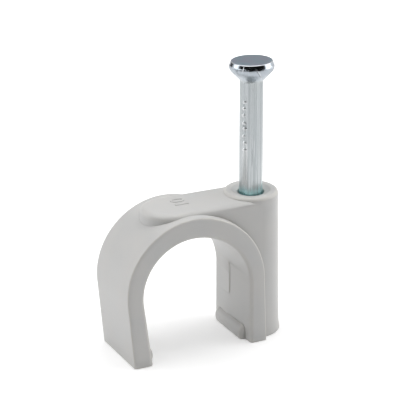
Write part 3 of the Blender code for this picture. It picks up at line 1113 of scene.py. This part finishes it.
def make_zinc(millimetres, mottle, bends, scratch):
    """Clear zinc plate on drawn steel wire: a struck, scratched head, a blue-green tint low down, and painted
    reflection, highlights and shade.
    """
    material, graph, shader = new_material("bright_zinc_plate")
    place = graph.group(millimetres)["Place"]
    patches = graph.group(mottle, Place=place, Patches_Per_Millimetre=ZINC_PATCHES)["Patches"]
    edge = edge_mask(graph, bends, place, ZINC_EDGE_BENDS, ZINC_EDGE_UNEVENNESS)
    crease = edge_mask(graph, bends, place, ZINC_CREASE_BENDS, ZINC_CREASE_UNEVENNESS)
    parts = graph.add("ShaderNodeSeparateXYZ", Vector=place).outputs
    height = parts["Z"]

    # Where the wire, the head's side and its face are; the face leans back, so its height is levelled
    neck = (NAIL_TOP - HEAD_HEIGHT) / MM
    top = NAIL_TOP / MM
    on_wire = graph.step(height, neck, WIRE_STOPS, 1.0, 0.0)
    on_head = graph.step(height, neck, HEAD_STARTS)
    above_cone = graph.step(height, top, SIDE_STARTS)
    below_edge = graph.step(height, top, SIDE_STOPS, 1.0, 0.0)
    on_side = graph.times(above_cone, below_edge)
    from_front = graph.plus(parts["Y"], HEAD_FACE_RADIUS / MM)
    levelled = graph.plus(height, graph.times(from_front, tan(HEAD_TILT)))
    on_face = graph.step(levelled, top, FACE_STARTS)

    # Plate, streaks and flecks
    streaks = graph.stretched_noise(place, DRAWN_STRETCH, 0.5)
    flecks = graph.ramp(graph.stretched_noise(place, FLECK_STRETCH, 0.5), *FLECK_BAND)
    chatter = graph.stretched_noise(place, STRUCK_STRETCH, 0.6)
    dark_score, light_score = make_scores(graph, scratch, place)
    wire = make_wire_colour(graph, scratch, place, patches, height)
    head = graph.shades(patches, HEAD_ZINC)
    face = graph.shades(graph.ramp(patches, *FACE_BAND), FACE_ZINC)
    plate = graph.mix(on_face, graph.mix(on_head, wire, head), face)
    streaked = graph.tint(graph.ramp(streaks, *STREAK_BAND), on_wire, plate, STREAK_ZINC)
    flecked = graph.tint(graph.times(flecks, on_wire), FLECK_SHARE, streaked, FLECK_ZINC)

    # A blue-green tint on the wire up to just above the column's rim, paler edges that are wear and a painted
    # highlight, painted shade in the creases, and the scratches' painted shade and glints
    low = COLUMN_HEIGHT / MM + CAST_HEIGHT
    wave = graph.times(graph.minus(streaks, 0.5), CAST_WAVE)
    cast = graph.ramp(graph.plus(height, wave), low - CAST_FADE, low + CAST_FADE, 1.0, 0.0)
    tinted = graph.tint(cast, CAST_SHARE, flecked, CAST_ZINC)
    # Paler edges: wear, and a painted highlight along the head's rims and the teeth
    paler_edges = graph.tint(edge, EDGE_SHARE, tinted, EDGE_ZINC)
    # Painted shade in the creases round the teeth and at the neck
    crease_shaded = graph.tint(crease, PAINTED_CREASE_SHADE_SHARE, paler_edges, PAINTED_CREASE_SHADE_ZINC)
    # Painted shade along the dark scratches and painted glints along the light ones
    scored = graph.mix(dark_score, crease_shaded, linear(*SCORE_PAINTED_SHADE_ZINC))
    colour = graph.mix(light_score, scored, linear(*SCORE_PAINTED_GLINT_ZINC))
    shader.inputs["Metallic"].default_value = 1.0
    graph.fill(shader.inputs["Base Color"], colour)

    # Gloss and relief
    drawn_roughness = graph.ramp(streaks, NOISE_LOW, NOISE_HIGH, *WIRE_ROUGHNESS)
    wire_extra = graph.times(graph.minus(drawn_roughness, SIDE_ROUGHNESS), on_wire)
    side_or_face = graph.ramp(on_face, 0.0, 1.0, SIDE_ROUGHNESS, FACE_ROUGHNESS)
    graph.fill(shader.inputs["Roughness"], graph.plus(wire_extra, side_or_face))
    wire_relief = graph.times(streaks, on_wire)
    side_relief = graph.times(chatter, graph.times(on_side, CHATTER))
    relief = graph.times(graph.plus(wire_relief, side_relief), RELIEF)
    cut_relief = graph.minus(relief, graph.plus(dark_score, light_score))
    bump = graph.add("ShaderNodeBump", Height=cut_relief, Strength=ZINC_BUMP, Distance=ZINC_BUMP_DEPTH)
    graph.fill(shader.inputs["Normal"], bump.outputs["Normal"])
    return material


# The studio

def seen_as_background(graph):
    """1 for the rays that see the background: the camera's own, and those in gloss and glass."""
    path = graph.add("ShaderNodeLightPath").outputs
    rays = graph.math("MAXIMUM", path["Is Camera Ray"], path["Is Glossy Ray"])
    return graph.math("MAXIMUM", rays, path["Is Transmission Ray"])


def make_world():
    """White all round: full white where it is seen, and a plain level where it lights."""
    world = bpy.data.worlds.new("white_tent")
    bpy.context.scene.world = world
    world.use_nodes = True
    graph = Graph(world.node_tree)
    background = world.node_tree.nodes["Background"].inputs
    graph.fill(background["Color"], (1.0, 1.0, 1.0, 1.0))
    graph.fill(background["Strength"], graph.ramp(seen_as_background(graph), 0.0, 1.0, WORLD_LEVEL, 1.0))


def new_matt(name, level):
    """A dull grey material that gives back the given share of the light."""
    material, graph, shader = new_material(name)
    shader.inputs["Base Color"].default_value = (level, level, level, 1.0)
    shader.inputs["Roughness"].default_value = 1.0
    shader.inputs["Specular IOR Level"].default_value = 0.0
    return material, graph, shader


def make_floor():
    """A white sheet under the clip that keeps its shadow."""
    builder = bmesh.new()
    bmesh.ops.create_circle(builder, cap_ends=True, radius=FLOOR_RADIUS, segments=FLOOR_SIDES)
    for vert in builder.verts:
        vert.co.z = -FLOOR_GAP
    floor = new_piece("floor", builder)
    material, graph, shader = new_matt("white_sheet", FLOOR_WHITE)
    shader.inputs["Emission Color"].default_value = (1.0, 1.0, 1.0, 1.0)
    place = graph.add("ShaderNodeTexCoord").outputs["Object"]
    distance = graph.add("ShaderNodeVectorMath", {"operation": "LENGTH"}, Vector=place).outputs["Value"]
    whitening = graph.ramp(distance, 0.0, FLOOR_WHITE_FROM, FLOOR_NEAR_WHITENING, FLOOR_FAR_WHITENING)
    looked_at = graph.add("ShaderNodeLightPath").outputs["Is Camera Ray"]
    lift = graph.times(seen_as_background(graph), FLOOR_LIFT)
    whiter = graph.times(whitening, looked_at)
    graph.fill(shader.inputs["Emission Strength"], graph.plus(lift, whiter))
    floor.data.materials.append(material)


def studio_direction(azimuth, elevation):
    """From the clip towards the studio; azimuth 0 is in front and 90 on the nail's side."""
    return Vector((sin(azimuth) * cos(elevation), -cos(azimuth) * cos(elevation), sin(elevation)))


def make_lamp(name, azimuth, elevation, spread, level):
    """A round soft lamp that looks at the clip, and covers the given spread of its sky."""
    azimuth, elevation, spread = radians(azimuth), radians(elevation), radians(spread)
    lamp = bpy.data.lights.new(name, "AREA")
    lamp.shape = "DISK"
    lamp.size = 2 * STUDIO_DISTANCE * tan(spread / 2)
    lamp.energy = level * pi * pi * (lamp.size / 2) ** 2
    holder = new_object(name, lamp)
    towards = studio_direction(azimuth, elevation)
    holder.location = CAMERA_TARGET + towards * STUDIO_DISTANCE
    holder.rotation_euler = (-towards).to_track_quat("-Z", "Y").to_euler()


def make_card(name, azimuth, spread, low, high, distance, grey):
    """A bent grey card for the metal to mirror; the camera doesn't see it, and its ends fade out."""
    azimuth, spread, low, high = radians(azimuth), radians(spread), radians(low), radians(high)
    builder = bmesh.new()
    columns = max(2, round(spread / CARD_STEP))
    rows = max(2, round((high - low) / CARD_STEP))
    grid = []
    for column in range(columns + 1):
        turn = azimuth + spread * (column / columns - 0.5)
        points = []
        for row in range(rows + 1):
            rise = low + (high - low) * row / rows
            points.append(builder.verts.new(studio_direction(turn, rise) * distance))
        grid.append(points)
    for near, far in zip(grid, grid[1:]):
        for row in range(rows):
            builder.faces.new((near[row], far[row], far[row + 1], near[row + 1]))
    card = new_piece(name, builder)
    card.visible_camera = False
    material, graph, shader = new_matt(name, grey)
    place = graph.add("ShaderNodeTexCoord").outputs["Object"]
    turned_back = graph.add("ShaderNodeMapping", Vector=place, Rotation=(0.0, 0.0, -azimuth))
    parts = graph.add("ShaderNodeSeparateXYZ", Vector=turned_back.outputs["Vector"]).outputs
    ahead = graph.times(parts["Y"], -1.0)
    off_middle = graph.math("ABSOLUTE", graph.math("ARCTAN2", parts["X"], ahead))
    graph.fill(shader.inputs["Alpha"], graph.ramp(off_middle, spread / 2 - CARD_FADE, spread / 2, 1.0, 0.0))
    card.data.materials.append(material)


def make_camera():
    """The photograph's camera."""
    camera = bpy.data.cameras.new("camera")
    camera.lens = CAMERA_LENS
    camera.sensor_width = CAMERA_SENSOR
    camera.clip_start = 0.01
    camera.clip_end = 10.0
    holder = new_object("camera", camera)
    ahead = Vector((
        sin(CAMERA_YAW) * cos(CAMERA_PITCH), cos(CAMERA_YAW) * cos(CAMERA_PITCH), -sin(CAMERA_PITCH)
    ))
    holder.location = CAMERA_TARGET - ahead * CAMERA_DISTANCE
    holder.rotation_euler = (pi / 2 - CAMERA_PITCH, 0.0, -CAMERA_YAW)
    bpy.context.scene.camera = holder


make_camera()
millimetres_group = make_millimetres_group()
mottle_group = make_mottle_group()
edge_group = make_bend_group()
scratch_group = make_scratch_group()
plastic = make_plastic(millimetres_group, mottle_group, edge_group)
make_clip(plastic)
make_figure(plastic)
make_nail(make_zinc(millimetres_group, mottle_group, edge_group, scratch_group))
make_world()
make_floor()
for card_settings in STUDIO_CARDS:
    make_card(*card_settings)
for lamp_settings in STUDIO_LAMPS:
    make_lamp(*lamp_settings)
bpy.context.scene.view_settings.view_transform = "Standard"
